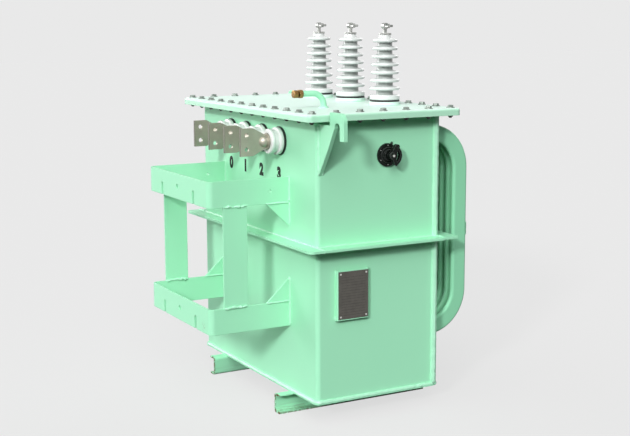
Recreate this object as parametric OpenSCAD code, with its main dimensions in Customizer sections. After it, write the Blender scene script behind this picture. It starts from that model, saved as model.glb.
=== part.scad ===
// Three-phase distribution transformer: an oil-filled sheet-steel tank with a bank of bent
// cooling tubes, porcelain bushings and a two-strap bracket for mounting on a pole.
// Millimetres, +Z up. The low-voltage front faces -Y and the tap changer end faces +X.

/* [Tank] */
// Length of the tank along X
tank_l = 820; // [760:1:960]
// Depth of the tank along Y
tank_w = 434; // [400:1:520]
// Height from the underside of the bottom plate to the lower edge of the cover rim
tank_h = 872; // [820:1:980]
// Thickness of the tank sheet
sheet = 4.75; // [3:0.25:6]
// Outer radius of the bent front corners
tank_bend = 14; // [9:1:24]
// Thickness of the bottom plate
bottom_t = 6; // [4:0.5:10]
// How far the bottom plate and the back wall stand proud of the bent wall
plate_lip = 6; // [3:0.5:10]

/* [Cover] */
// Overhang of the cover beyond the tank ends
cover_over_x = 50; // [44:1:58]
// Overhang of the cover beyond the front and back walls
cover_over_y = 54; // [44:1:70]
// Depth of the folded rim
rim_h = 22.6; // [20:0.2:30]
// Thickness of the cover sheet
cover_t = 4.75; // [3:0.25:6]
// Outer radius of the fold along the top edge
cover_fold = 8; // [6.5:0.5:12]
// Outer radius of the cover corners in plan
cover_corner = 15; // [13:1:24]
// Thickness of the flange round the tank mouth
flange_t = 9.5; // [6:0.5:12]
// Thickness of the cover gasket
gasket_t = 6; // [4:0.5:8]
// Gap between the flange and the inside of the rim
rim_gap = 2; // [1:0.5:4]

/* [Belt] */
// Underside of the belt above the underside of the bottom plate
belt_z = 482; // [440:1:500]
// Width of the belt bars
belt_w = 50; // [40:1:60]
// Width of the back bar of the belt
belt_back_w = 55; // [46:1:62]
// How far the ends of the back bar stand behind the outer edges of the end bars
belt_back_in = 7; // [0:1:12]
// Thickness of the belt bars
belt_t = 8; // [6:0.5:12]
// Corner radius at the front of the belt
belt_corner = 16; // [8:1:24]

/* [Base channels] */
// Height of a channel
channel_h = 62; // [50:1:80]
// Flange width of a channel
channel_flange = 33; // [28:1:45]
// Thickness of the channel sheet
channel_t = 5; // [4:0.5:8]
// Outer bend radius of a channel
channel_bend = 9; // [9:0.5:14]
// Distance of each channel's web from the middle of the tank
channel_x = 230; // [200:1:280]
// How far the channels reach past the front and back walls
channel_over = 55; // [40:1:90]

/* [Pole bracket] */
// Outer width of the U straps
strap_w = 474; // [430:1:500]
// Reach of the straps from the front wall
strap_reach = 276; // [240:1:300]
// Height of the strap bar
strap_h = 80; // [70:1:90]
// Thickness of the strap bar
strap_t = 6.35; // [5:0.05:8]
// Outer bend radius of the straps
strap_bend = 18; // [12:1:26]
// Lower edge of the lower strap above the underside of the bottom plate
strap_z = 214; // [180:1:240]
// Distance between the two straps, centre to centre
strap_pitch = 393; // [380:1:420]
// Distance between the open slots in each strap
slot_pitch = 250; // [200:1:300]
// Width of the open slots
slot_w = 15; // [12:0.5:20]
// Height of the open slots
slot_h = 42; // [30:1:50]
// Radius of the middle bolt hole in each strap
strap_hole_r = 8; // [6:0.25:10]
// Radius of the earthing hole in each arm of the upper strap
arm_hole_r = 5; // [4:0.25:7]
// Distance of the earthing holes from the front wall
arm_hole_out = 67; // [50:1:90]
// Distance of the upright posts from the front wall
post_out = 147; // [120:1:152]
// Width of the upright posts
post_w = 80; // [60:1:84]
// Length of the triangular gussets along the arms
gusset_l = 82; // [64:1:90]
// Height of the triangular gussets
gusset_h = 76; // [60:1:84]

/* [Lifting hooks] */
// Thickness of the hook plates
hook_t = 12.7; // [10:0.1:16]
// Distance from the tank corner to the face of a hook
hook_inset = 8; // [6:1:20]
// Outer edge of a hook from the end wall
hook_reach = 147; // [142:1:155]
// Radius of the sling slot
hook_slot_r = 15.5; // [13:0.5:17]
// Width of the finger that closes the sling slot
hook_finger = 23.5; // [18:0.5:26]
// Clearance between the hook and the cover rim
hook_gap = 15.5; // [10:0.5:18]
// Top of a hook above the lower edge of the rim
hook_top = 29; // [25:1:35]
// Tip of the finger below the lower edge of the rim
hook_tip = 51; // [45:1:60]
// Outer corner radius of a hook
hook_corner = 27; // [20:1:28]
// Depth of the hook's foot below the lower edge of the rim
hook_foot = 164; // [140:1:190]

/* [Low-voltage bushings] */
// Distance between low-voltage bushings
lv_pitch = 117; // [105:1:125]
// Bushing axis below the lower edge of the cover rim
lv_drop = 78.5; // [75:0.5:95]
// Radius of the porcelain flange
lv_flange_r = 43.5; // [42:0.5:50]
// Radius of the outer porcelain ring
lv_ring_r = 39; // [36:0.5:41]
// Length of the porcelain outside its gasket
lv_len = 41; // [38:1:48]
// Thickness of the gaskets
lv_gasket_t = 5; // [3:0.5:7]
// Radius of the porcelain neck
lv_neck_r = 36; // [32:0.5:38]
// Radius of the porcelain tail in the tank
lv_tail_r = 22; // [18:0.5:24]
// Radius of the stud in the bushing
lv_stud_r = 13; // [10:0.5:14]
// Radius of the round-ended stud outside the bushing
lv_dome_r = 17.5; // [14:0.5:20]
// Outer edge of the palm from the front wall
palm_out = 138; // [130:1:150]
// Height of the palm
palm_h = 86; // [76:1:96]
// Thickness of the palm
palm_t = 8; // [6:0.5:12]
// Distance between the two palm holes
palm_pitch = 44.45; // [38:0.05:50]
// Radius of the palm holes
palm_hole_r = 7; // [5.5:0.25:8]

/* [High-voltage bushings] */
// Distance between high-voltage bushings
hv_pitch = 216; // [200:1:240]
// Row of bushings in front of the back wall
hv_back = 75; // [57:1:107]
// Radius of the porcelain base
hv_base_r = 49; // [46:0.5:54]
// Height of the porcelain base
hv_base_h = 17; // [14:0.5:24]
// Number of sheds
hv_sheds = 7; // [5:1:8]
// Distance between sheds
hv_shed_pitch = 25.2; // [23:0.1:30]
// Radius of the lowest shed
hv_shed_low = 49.5; // [46:0.5:54]
// Radius of the highest shed
hv_shed_high = 40.5; // [38:0.5:46]
// Radius of the shed's rounded rim
hv_shed_edge = 5.4; // [3:0.1:6]
// Core radius at the base
hv_core_low = 27.5; // [25:0.5:30]
// Core radius at the top
hv_core_high = 23.5; // [22:0.5:25]
// Radius of the porcelain under the terminal cap
hv_neck_r = 19.5; // [17:0.5:22]
// Radius of the porcelain tail in the tank
hv_tail_r = 24; // [20:0.5:26]
// Radius of the terminal stem
hv_stem_r = 6.5; // [5:0.25:8]
// Height of the raised seats on the cover
hv_seat_h = 11; // [6:0.5:16]
// Thickness of the gaskets under the bases
hv_gasket_t = 5; // [2:0.5:7]

/* [Filler pipe] */
// Pipe axis to the right of the middle of the tank
pipe_x = 236; // [200:1:280]
// Pipe axis in front of the middle of the tank
pipe_y = 94; // [70:1:120]
// Outer radius of the pipe
pipe_r = 9.5; // [8:0.5:11]
// Height of the horizontal run above the cover
pipe_rise = 46; // [44:1:60]
// Bend radius of the pipe
pipe_bend = 38; // [22:1:42]
// Reach of the cap's end from the upright pipe
pipe_reach = 108; // [100:1:130]
// Length of the brass cap
cap_l = 31; // [28:1:44]
// Radius of the cap across its corners
cap_r = 14.5; // [13.5:0.5:17]

/* [Tap changer] */
// Axis behind the middle of the tank
tap_y = 28; // [0:1:60]
// Axis below the lower edge of the cover rim
tap_drop = 114; // [100:1:140]
// Radius of the base disc
tap_disc_r = 35.5; // [32:0.5:42]
// Radius of the turning shaft
tap_shaft_r = 8; // [6:0.25:9]
// Radial running fit of the shaft
tap_fit = 0.05; // [0.02:0.01:0.1]
// Clearance between the handle and the base
tap_gap = 5; // [5:0.5:8]
// Outer radius of the handle's bow
tap_ring_r = 33; // [28:0.5:36]
// Distance of the locking ear from the axis
tap_ear = 31; // [28:0.5:36]
// Distance of the finger knob from the axis
tap_knob = 29; // [26:0.5:34]

/* [Nameplate] */
// Width of the plate
plate_w = 105; // [90:1:120]
// Height of the plate
plate_h = 148; // [130:1:160]
// Thickness of the plate
plate_t = 1.2; // [0.8:0.1:2]
// Middle of the plate in front of the middle of the tank
plate_y = 97; // [80:1:120]
// Lower edge of the plate above the underside of the bottom plate
plate_z = 263; // [230:1:300]
// Distance of the plate's seat from the end wall
plate_off = 13; // [10:0.5:20]

/* [Radiator] */
// Number of cooling tubes
tube_count = 22; // [16:1:24]
// Distance from the tank ends to the first and last tube
tube_edge = 43; // [36:1:60]
// Depth of the oval tube
tube_deep = 54; // [44:1:58]
// Width of the oval tube
tube_wide = 18; // [14:0.5:20]
// Bend radius of the tube's middle line
tube_bend = 114; // [100:1:130]
// Upper tube ends below the lower edge of the cover rim
tube_top = 61; // [54:1:84]
// Lower tube ends above the underside of the bottom plate
tube_low = 185; // [160:1:220]
// Height of the tie bar
tie_h = 40; // [30:1:50]
// Thickness of the tie bar
tie_t = 5; // [3:0.5:8]
// Middle of the tie bar above the underside of the bottom plate
tie_z = 496; // [440:1:540]

/* [Core and windings] */
// Distance between the core limbs
limb_pitch = 226; // [215:1:232]
// Radius of a core limb
limb_r = 62; // [54:1:68]
// Height of the core's yokes
yoke_h = 110; // [96:1:120]
// Height of the core's windows
window_h = 430; // [400:1:460]
// Outer radius of a winding
coil_r = 104; // [98:1:106]

/* [Hidden] */
$fn = 64;

// Colours of the pieces
mint = "#a4dfbf";
porcelain = "#f2f5f2";
tinned = "#8f9387";
rubber = "#1d2420";
brass = "#b08a4e";
plate_grey = "#5b564c";
lamination = "#6d7276";
copper = "#a5653c";

// Small overlap that lets a cut pass right through a face
cut = 1;
// Running clearance round parts that pass through a hole
pass = 0.3;
// Clearance of the porcelain tails in their holes
tail_gap = 2;

// The middle of the tank in Y puts the middle of the whole transformer at the origin
radiator_reach = tube_bend + tube_deep / 2 + tie_t;
tank_y = (strap_reach - radiator_reach) / 2;
front_y = tank_y - tank_w / 2;
back_y = tank_y + tank_w / 2;
end_x = tank_l / 2;

// Levels from the ground up
tank_z = channel_h;
floor_z = tank_z + bottom_t;
rim_z = tank_z + tank_h;
cover_z = rim_z + rim_h;
gasket_z = cover_z - cover_t - gasket_t;
flange_z = gasket_z - flange_t;

// Cover and flange outlines
cover_l = tank_l + 2 * cover_over_x;
cover_w = tank_w + 2 * cover_over_y;
flange_l = cover_l - 2 * (cover_t + rim_gap);
flange_w = cover_w - 2 * (cover_t + rim_gap);
flange_corner = cover_corner - cover_t;
gasket_l = cover_l - 2 * cover_fold;
gasket_w = cover_w - 2 * cover_fold;
gasket_corner = cover_corner - cover_fold;

// Pole bracket levels
low_strap_z = tank_z + strap_z;
high_strap_z = low_strap_z + strap_pitch;
arm_x = strap_w / 2 - strap_t;

// Bushing levels
lv_z = rim_z - lv_drop;
lv_face = lv_gasket_t + lv_len;
lv_tail_l = 45;
lv_edge = 5;
lv_flange_h = 14;
lv_recess = 6;
lv_recess_r = 27;
lv_washer_r = lv_recess_r - 2;
lv_washer_h = lv_recess + 3;
lv_stud_l = 11;
lv_notch_w = 14;
palm_neck = 19;
palm_full = 43;
palm_edge = 21;
hv_y = tank_w / 2 - hv_back;
hv_seat_r = hv_base_r + 1;
hv_seat_z = cover_z + hv_seat_h;
hv_z = hv_seat_z + hv_gasket_t;
hv_tail_l = 80;
hv_first_gap = 20;
hv_first = hv_base_h + hv_first_gap;
hv_last = hv_first + (hv_sheds - 1) * hv_shed_pitch;
hv_neck_h = 18;
hv_top = hv_last + hv_neck_h;
hv_cap_r = hv_neck_r + 1;
hv_cap_h = 6;
hv_eye_r = 10;
hv_eye_hole_r = 5.5;
hv_eye_l = 15;
hv_eye_z = hv_cap_h + 22;

// Tap changer levels out from the end wall
tap_z = rim_z - tap_drop;
tap_disc_h = 8;
tap_neck_r = tap_shaft_r + 9;
tap_neck_h = 19;
tap_handle_h = 13;

// Filler pipe and cap
pipe_wall = 3;
cap_socket = 11;

// Outline of a bent U, closed at y = 0 and open towards +Y
module u_outline(width, depth, bend) {
    translate([-width / 2, bend]) square([width, depth - bend]);
    translate([-width / 2 + bend, 0]) square([width - 2 * bend, 2 * bend]);
    for (side = [-1, 1])
        translate([side * (width / 2 - bend), bend]) circle(bend);
}

// Sheet bent to a U
module u_sheet(width, depth, bend, thick) {
    difference() {
        u_outline(width, depth, bend);
        translate([0, thick]) u_outline(width - 2 * thick, depth, max(bend - thick, 1));
    }
}

// Rectangle with round corners, centred
module round_rect(length, width, corner) {
    square([length - 2 * corner, width], center = true);
    square([length, width - 2 * corner], center = true);
    for (x = [-1, 1], y = [-1, 1])
        translate([x * (length / 2 - corner), y * (width / 2 - corner)]) circle(corner);
}

// Half section of a disc from the axis out, with a rounded rim
module disc_section(radius, height, edge) {
    square([radius - edge, height]);
    translate([0, edge]) square([radius, height - 2 * edge]);
    for (level = [edge, height - edge])
        translate([radius - edge, level]) circle(edge);
}

// Oval with straight sides, long along x
module oval(length, width) {
    square([length - width, width], center = true);
    for (side = [-1, 1])
        translate([side * (length - width) / 2, 0]) circle(width / 2);
}

// Places on the tank: local x runs to the right, y up and z out of the wall
module on_front(x, z) {
    translate([x, front_y, z]) rotate([90, 0, 0]) children();
}
module on_end(y, z) {
    translate([end_x, tank_y + y, z]) rotate([90, 0, 90]) children();
}
function lv_x(index) = (index - 1.5) * lv_pitch;
function hv_x(index) = (index - 2) * hv_pitch;

// Plan of the tank's outside: the bent wall and the proud back plate
module tank_plan() {
    translate([0, front_y]) u_outline(tank_l, tank_w, tank_bend);
    translate([-end_x - plate_lip, back_y - sheet]) square([tank_l + 2 * plate_lip, sheet]);
}

// Front and both ends, bent from one sheet
module tank_wall() {
    color(mint) difference() {
        translate([0, front_y, floor_z]) linear_extrude(gasket_z - floor_z)
            u_sheet(tank_l, tank_w - sheet, tank_bend, sheet);
        for (index = [0:3])
            on_front(lv_x(index), lv_z)
                translate([0, 0, -sheet - cut]) cylinder(r = lv_tail_r + tail_gap, h = sheet + 2 * cut);
        on_end(tap_y, tap_z)
            translate([0, 0, -sheet - cut]) cylinder(r = tap_neck_r, h = sheet + 2 * cut);
    }
}

// Flat back wall, a little wider than the tank so that its edges take the welds
module back_wall() {
    color(mint)
        translate([-end_x - plate_lip, back_y - sheet, floor_z])
            cube([tank_l + 2 * plate_lip, sheet, gasket_z - floor_z]);
}

// Bottom plate with a welding lip all round
module bottom_plate() {
    color(mint)
        translate([0, tank_y, tank_z]) linear_extrude(bottom_t)
            round_rect(tank_l + 2 * plate_lip, tank_w + 2 * plate_lip, tank_bend + plate_lip);
}

// Flange welded round the mouth of the tank
module tank_flange() {
    color(mint)
        translate([0, 0, flange_z]) linear_extrude(flange_t) difference() {
            translate([0, tank_y]) round_rect(flange_l, flange_w, flange_corner);
            tank_plan();
        }
}

// Flat gasket between flange and cover
module cover_gasket() {
    color(rubber)
        translate([0, tank_y, gasket_z]) linear_extrude(gasket_t) difference() {
            round_rect(gasket_l, gasket_w, gasket_corner);
            square([tank_l - 2 * sheet, tank_w - 2 * sheet], center = true);
        }
}

// Section of the cover's folded edge, from the corner centre out, with its top at 0
module fold_section() {
    inside = cover_fold - cover_t;
    middle = cover_corner - cover_fold;
    translate([0, -cover_t]) square([middle, cover_t]);
    translate([cover_corner - cover_t, -rim_h]) square([cover_t, rim_h - cover_fold]);
    translate([middle, -cover_fold]) intersection() {
        difference() {
            circle(cover_fold);
            circle(inside);
        }
        square(cover_fold);
    }
}

// Cover with its rim folded down and raised seats for the high-voltage bushings
module cover() {
    color(mint) difference() {
        union() {
            translate([0, tank_y, cover_z]) {
                translate([cover_corner - cover_l / 2, cover_corner - cover_w / 2, -cover_t])
                    cube([cover_l - 2 * cover_corner, cover_w - 2 * cover_corner, cover_t]);
                for (turn = [0:3]) {
                    across = (turn % 2 == 0 ? cover_l : cover_w) / 2 - cover_corner;
                    along = (turn % 2 == 0 ? cover_w : cover_l) / 2 - cover_corner;
                    rotate(90 * turn) {
                        translate([across, 0, 0]) rotate([90, 0, 0])
                            linear_extrude(2 * along, center = true) fold_section();
                        translate([across, along, 0]) rotate_extrude(angle = 90) fold_section();
                    }
                }
            }
            for (index = [1:3])
                translate([hv_x(index), tank_y + hv_y, cover_z])
                    cylinder(r = hv_seat_r, h = hv_seat_h);
        }
        for (index = [1:3])
            translate([hv_x(index), tank_y + hv_y, cover_z - cover_t - cut])
                cylinder(r = hv_tail_r + tail_gap, h = cover_t + hv_seat_h + 2 * cut);
        translate([pipe_x, tank_y - pipe_y, cover_z - cover_t - cut])
            cylinder(r = pipe_r - pipe_wall, h = cover_t + 2 * cut);
    }
}

// Plan of the front and back bars of the belt, with the outer edge at y = 0
module belt_plan(length, width, corner) {
    translate([-length / 2, corner]) square([length, width - corner]);
    translate([corner - length / 2, 0]) square([length - 2 * corner, corner]);
    for (side = [-1, 1])
        translate([side * (length / 2 - corner), corner]) circle(corner);
}

// Bars of the belt: long ones at the front and back, short ones butted between them
module belt_front() {
    color(mint)
        translate([0, front_y - belt_w, tank_z + belt_z]) linear_extrude(belt_t)
            belt_plan(tank_l + 2 * belt_w, belt_w, belt_corner);
}
module belt_back() {
    color(mint)
        translate([0, back_y + belt_back_w, tank_z + belt_z]) mirror([0, 1, 0]) linear_extrude(belt_t)
            belt_plan(tank_l + 2 * (belt_w - belt_back_in), belt_back_w, belt_corner / 4);
}
module belt_right() {
    color(mint) difference() {
        translate([end_x, front_y, tank_z + belt_z]) cube([belt_w, tank_w, belt_t]);
        translate([end_x - cut, back_y - sheet, tank_z + belt_z - cut])
            cube([plate_lip + cut, sheet + cut, belt_t + 2 * cut]);
    }
}
module belt_left() {
    mirror([1, 0, 0]) belt_right();
}

// Formed base channel with its flanges pointing outwards
module base_channel_right() {
    color(mint)
        translate([channel_x, tank_y - tank_w / 2 - channel_over, channel_h / 2])
            rotate([-90, -90, 0]) linear_extrude(tank_w + 2 * channel_over)
                u_sheet(channel_h, channel_flange, channel_bend, channel_t);
}
module base_channel_left() {
    mirror([1, 0, 0]) base_channel_right();
}

// Outline of a lifting hook: x out from the end wall, y up from the lower edge of the rim
module hook_outline() {
    back = cover_over_x + hook_gap;
    slot_x = hook_reach - hook_finger - hook_slot_r;
    heel = 10;
    difference() {
        union() {
            polygon([
                [0, -hook_foot], [slot_x / 2, -hook_foot / 2], [slot_x - hook_slot_r, -hook_slot_r],
                [hook_reach - hook_finger, -hook_slot_r], [hook_reach - hook_finger, -hook_tip],
                [hook_reach, -hook_tip], [hook_reach, hook_top - hook_corner],
                [hook_reach - hook_corner, hook_top - hook_corner], [hook_reach - hook_corner, hook_top],
                [back, hook_top], [back, -heel], [0, -heel]
            ]);
            translate([hook_reach - hook_corner, hook_top - hook_corner]) circle(hook_corner);
        }
        translate([slot_x, -hook_slot_r]) circle(hook_slot_r);
    }
}

// Lifting hooks on diagonally opposite corners
module lifting_hook_right() {
    color(mint)
        translate([end_x, front_y + hook_inset + hook_t, rim_z]) rotate([90, 0, 0])
            linear_extrude(hook_t) hook_outline();
}
module lifting_hook_left() {
    translate([0, 2 * tank_y, 0]) rotate(180) lifting_hook_right();
}

// U strap with two open slots and a middle hole in its front plate
module strap() {
    difference() {
        translate([0, front_y - strap_reach, 0]) linear_extrude(strap_h)
            u_sheet(strap_w, strap_reach, strap_bend, strap_t);
        for (side = [-1, 1])
            translate([side * slot_pitch / 2, front_y - strap_reach - cut, 0]) rotate([-90, 0, 0])
                linear_extrude(strap_t + 2 * cut) {
                    translate([-slot_w / 2, slot_w / 2 - slot_h])
                        square([slot_w, slot_h - slot_w / 2 + cut]);
                    translate([0, slot_w / 2 - slot_h]) circle(slot_w / 2);
                }
        translate([0, front_y - strap_reach - cut, strap_h / 2]) rotate([-90, 0, 0])
            cylinder(r = strap_hole_r, h = strap_t + 2 * cut);
    }
}
module upper_bracket() {
    color(mint) translate([0, 0, high_strap_z]) difference() {
        strap();
        for (side = [-1, 1])
            translate([side * (arm_x + strap_t / 2), front_y - arm_hole_out, strap_h / 2])
                rotate([0, 90, 0]) cylinder(r = arm_hole_r, h = strap_t + 2 * cut, center = true);
    }
}
module lower_bracket() {
    color(mint) translate([0, 0, low_strap_z]) strap();
}

// Upright flat bars that join the two straps
module bracket_post_right() {
    bottom = low_strap_z + strap_h;
    color(mint)
        translate([arm_x, front_y - post_out - post_w, bottom])
            cube([strap_t, post_w, high_strap_z - bottom]);
}
module bracket_post_left() {
    mirror([1, 0, 0]) bracket_post_right();
}

// Triangular gussets between the strap arms and the front wall
module bracket_gussets() {
    color(mint)
        for (side = [0, 1]) mirror([side, 0, 0]) {
            translate([arm_x, front_y, high_strap_z]) rotate([90, 0, 90])
                linear_extrude(strap_t) polygon([[0, 0], [-gusset_l, 0], [0, -gusset_h]]);
            translate([arm_x, front_y, low_strap_z + strap_h]) rotate([90, 0, 90])
                linear_extrude(strap_t) polygon([[0, 0], [0, gusset_h], [-gusset_l, 0]]);
        }
}

// Gaskets under the low-voltage bushings
module lv_gaskets() {
    color(rubber)
        for (index = [0:3])
            on_front(lv_x(index), lv_z) difference() {
                cylinder(r = lv_flange_r + 1.5, h = lv_gasket_t);
                translate([0, 0, -cut]) cylinder(r = lv_tail_r + tail_gap, h = lv_gasket_t + 2 * cut);
            }
}

// Low-voltage bushing: flange, neck and outer ring in one porcelain piece, with a tail in the tank
// and a drain notch at the bottom of the ring
module lv_bushing(index) {
    color(porcelain)
        on_front(lv_x(index), lv_z) difference() {
            translate([0, 0, lv_gasket_t]) rotate_extrude() difference() {
                union() {
                    disc_section(lv_flange_r, lv_flange_h, lv_edge);
                    square([lv_neck_r, lv_len]);
                    translate([0, lv_len - lv_flange_h]) disc_section(lv_ring_r, lv_flange_h, lv_edge);
                    translate([0, -lv_tail_l]) square([lv_tail_r, lv_tail_l + cut]);
                }
                translate([0, -lv_tail_l - cut])
                    square([lv_stud_r + pass, lv_tail_l + lv_len + 2 * cut]);
                translate([0, lv_len - lv_recess]) square([lv_recess_r, lv_recess + cut]);
            }
            translate([-lv_notch_w / 2, -lv_ring_r - cut, lv_face - lv_recess])
                cube([lv_notch_w, lv_ring_r, lv_recess + cut]);
        }
}

// Low-voltage terminal: round-ended stud, washer in the bushing's recess and flat palm
module lv_terminal(index) {
    color(tinned)
        on_front(lv_x(index), lv_z) difference() {
            union() {
                translate([0, 0, lv_gasket_t - lv_tail_l])
                    cylinder(r = lv_stud_r, h = lv_face + cut - lv_gasket_t + lv_tail_l);
                translate([0, 0, lv_face - lv_recess]) cylinder(r = lv_washer_r, h = lv_washer_h);
                translate([0, 0, lv_face]) rotate_extrude() {
                    square([lv_dome_r, lv_stud_l]);
                    translate([0, lv_stud_l]) intersection() {
                        circle(lv_dome_r);
                        square(lv_dome_r);
                    }
                }
                translate([-palm_t / 2, 0, 0]) rotate([90, 0, 90]) linear_extrude(palm_t)
                    palm_outline();
            }
            for (side = [-1, 1])
                translate([0, side * palm_pitch / 2, palm_out - palm_edge]) rotate([0, 90, 0])
                    cylinder(r = palm_hole_r, h = palm_t + 2 * cut, center = true);
        }
}

// Outline of the palm: x up along the wall, y out from the wall
module palm_outline() {
    neck_y = lv_face - lv_recess + lv_washer_h;
    full_y = palm_out - palm_full;
    polygon([
        [-palm_neck, neck_y], [palm_neck, neck_y], [palm_h / 2, full_y],
        [palm_h / 2, palm_out], [-palm_h / 2, palm_out], [-palm_h / 2, full_y]
    ]);
}

// Gaskets under the high-voltage bushings
module hv_gaskets() {
    color(rubber)
        for (index = [1:3])
            translate([hv_x(index), tank_y + hv_y, hv_seat_z]) difference() {
                cylinder(r = hv_base_r - 1, h = hv_gasket_t);
                translate([0, 0, -cut]) cylinder(r = hv_tail_r + tail_gap, h = hv_gasket_t + 2 * cut);
            }
}

// Half section of one shed: sloping top, round rim and flat underside
module shed_section(radius, level, core) {
    slope = 4;
    polygon([
        [core - cut, level - hv_shed_edge], [radius - hv_shed_edge, level - hv_shed_edge],
        [radius - hv_shed_edge, level + hv_shed_edge], [core - cut, level + hv_shed_edge + slope]
    ]);
    translate([radius - hv_shed_edge, level]) circle(hv_shed_edge);
}

// High-voltage bushing: a tapering porcelain core with sheds on a round base
module hv_bushing(index) {
    taper = (hv_shed_low - hv_shed_high) / (hv_sheds - 1);
    color(porcelain)
        translate([hv_x(index), tank_y + hv_y, hv_z]) rotate_extrude() difference() {
            union() {
                disc_section(hv_base_r, hv_base_h, hv_shed_edge);
                polygon([
                    [0, 0], [hv_core_low, 0], [hv_core_low, hv_base_h],
                    [hv_core_high, hv_last], [hv_neck_r, hv_top], [0, hv_top]
                ]);
                for (shed = [0:hv_sheds - 1])
                    shed_section(hv_shed_low - shed * taper, hv_first + shed * hv_shed_pitch, hv_core_high);
                translate([0, -hv_tail_l]) square([hv_tail_r, hv_tail_l + cut]);
            }
            translate([0, -hv_tail_l - cut]) square([hv_stem_r + pass, hv_tail_l + hv_top + 2 * cut]);
        }
}

// High-voltage terminal: stem, cap washer and an eye with its clamping bolt
module hv_terminal(index) {
    bolt_r = 4;
    nut_r = 8;
    nut_h = 7;
    bolt_l = 27;
    color(tinned)
        translate([hv_x(index), tank_y + hv_y, hv_z + hv_top]) difference() {
            union() {
                translate([0, 0, -hv_top - hv_tail_l])
                    cylinder(r = hv_stem_r, h = hv_eye_z + hv_top + hv_tail_l);
                cylinder(r = hv_cap_r, h = hv_cap_h);
                translate([0, 0, hv_eye_z]) rotate([0, 90, 0])
                    cylinder(r = hv_eye_r, h = hv_eye_l, center = true);
                translate([0, 0, hv_eye_z]) rotate([-90, 0, 0]) {
                    translate([0, 0, hv_eye_hole_r + 1]) cylinder(r = bolt_r, h = bolt_l - hv_eye_hole_r);
                    translate([0, 0, hv_eye_r - 1]) cylinder(r = nut_r, h = nut_h, $fn = 6);
                }
            }
            translate([0, 0, hv_eye_z]) rotate([0, 90, 0])
                cylinder(r = hv_eye_hole_r, h = hv_eye_l + 2 * cut, center = true);
        }
}

// Filler pipe: an upright stub, a bend and a short run towards the front
module filler_pipe() {
    upright = pipe_rise - pipe_bend;
    run = pipe_reach - cap_l + cap_socket - pipe_bend;
    color(mint)
        translate([pipe_x, tank_y - pipe_y, cover_z]) {
            difference() {
                cylinder(r = pipe_r, h = upright);
                translate([0, 0, -cut]) cylinder(r = pipe_r - pipe_wall, h = upright + 2 * cut);
            }
            translate([0, -pipe_bend, upright]) rotate([90, 0, 90]) rotate_extrude(angle = 90)
                translate([pipe_bend, 0]) pipe_section();
            translate([0, -pipe_bend, pipe_rise]) rotate([90, 0, 0]) linear_extrude(run) pipe_section();
        }
}
module pipe_section() {
    difference() {
        circle(pipe_r);
        circle(pipe_r - pipe_wall);
    }
}

// Hexagon with its corners rounded off at both ends
module hex_collar(radius, length) {
    intersection() {
        cylinder(r = radius, h = length, $fn = 6);
        rotate_extrude() disc_section(radius, length, radius / 4);
    }
}

// Brass cap: two hexagons with a groove between them
module filler_cap() {
    groove = 4;
    groove_r = cap_r / 2;
    cap_bottom = 2;
    body_l = cap_socket + cap_bottom;
    color(brass)
        translate([pipe_x, tank_y - pipe_y - pipe_reach + cap_l, cover_z + pipe_rise]) rotate([90, 0, 0])
            difference() {
                union() {
                    hex_collar(cap_r, body_l);
                    cylinder(r = groove_r, h = cap_l - cut);
                    translate([0, 0, body_l + groove]) hex_collar(cap_r - 1, cap_l - body_l - groove);
                }
                translate([0, 0, -cut]) cylinder(r = pipe_r + pass, h = cap_socket + cut);
            }
}

// Fixed part of the tap changer: a disc with a pointed lug on the end wall, and a neck that
// carries the shaft
module tap_changer_base() {
    spigot = sheet + 10;
    step_w = 7;
    step_h = 4;
    rim_edge = 2;
    lug_turn = 66;
    lug_w = 12;
    lug_l = 8;
    lug_root = 3;
    lug_t = tap_disc_h - rim_edge;
    color(rubber)
        on_end(tap_y, tap_z) {
            rotate_extrude() difference() {
                union() {
                    disc_section(tap_disc_r, tap_disc_h, rim_edge);
                    square([tap_neck_r, tap_neck_h]);
                    square([tap_neck_r + step_w, tap_disc_h + step_h]);
                    translate([0, -spigot]) square([tap_neck_r - pass, spigot + cut]);
                }
                translate([0, -spigot - cut])
                    square([tap_shaft_r + tap_fit, spigot + tap_neck_h + 2 * cut]);
            }
            rotate(lug_turn) translate([tap_disc_r - rim_edge, 0, 0]) linear_extrude(lug_t)
                polygon([[-lug_root, -lug_w / 2], [lug_l + rim_edge, 0], [-lug_root, lug_w / 2]]);
        }
}

// Turning handle of the tap changer: hub and shaft, locking ear, finger knob and a bow between them
module tap_changer_handle() {
    start = tap_neck_h + tap_gap;
    hub_r = tap_shaft_r + 3;
    hub_end = 4;
    hub_taper = 3;
    arm_w = 11;
    bow_t = 7;
    ear_w = 16;
    ear_hole_r = 3;
    ear_turn = 58;
    knob_turn = -64;
    far = 3 * tap_ring_r;
    shaft_in = sheet + 40;
    color(rubber)
        on_end(tap_y, tap_z) {
            translate([0, 0, -shaft_in]) cylinder(r = tap_shaft_r, h = shaft_in + start + cut);
            translate([0, 0, start]) {
                linear_extrude(tap_handle_h) difference() {
                    union() {
                        circle(hub_r);
                        rotate(ear_turn) translate([tap_ear / 2, 0]) oval(tap_ear + ear_w, ear_w);
                        rotate(knob_turn) translate([tap_knob / 2, 0]) oval(tap_knob + arm_w, arm_w);
                        intersection() {
                            difference() {
                                circle(tap_ring_r);
                                circle(tap_ring_r - bow_t);
                            }
                            polygon([
                                [0, 0], far * [cos(knob_turn), sin(knob_turn)], [far, 0],
                                far * [cos(ear_turn), sin(ear_turn)]
                            ]);
                        }
                    }
                    rotate(ear_turn) translate([tap_ear, 0]) circle(ear_hole_r);
                }
                translate([0, 0, tap_handle_h - cut])
                    cylinder(r1 = hub_r - 1, r2 = hub_r - hub_taper, h = hub_end + cut);
            }
        }
}

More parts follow.
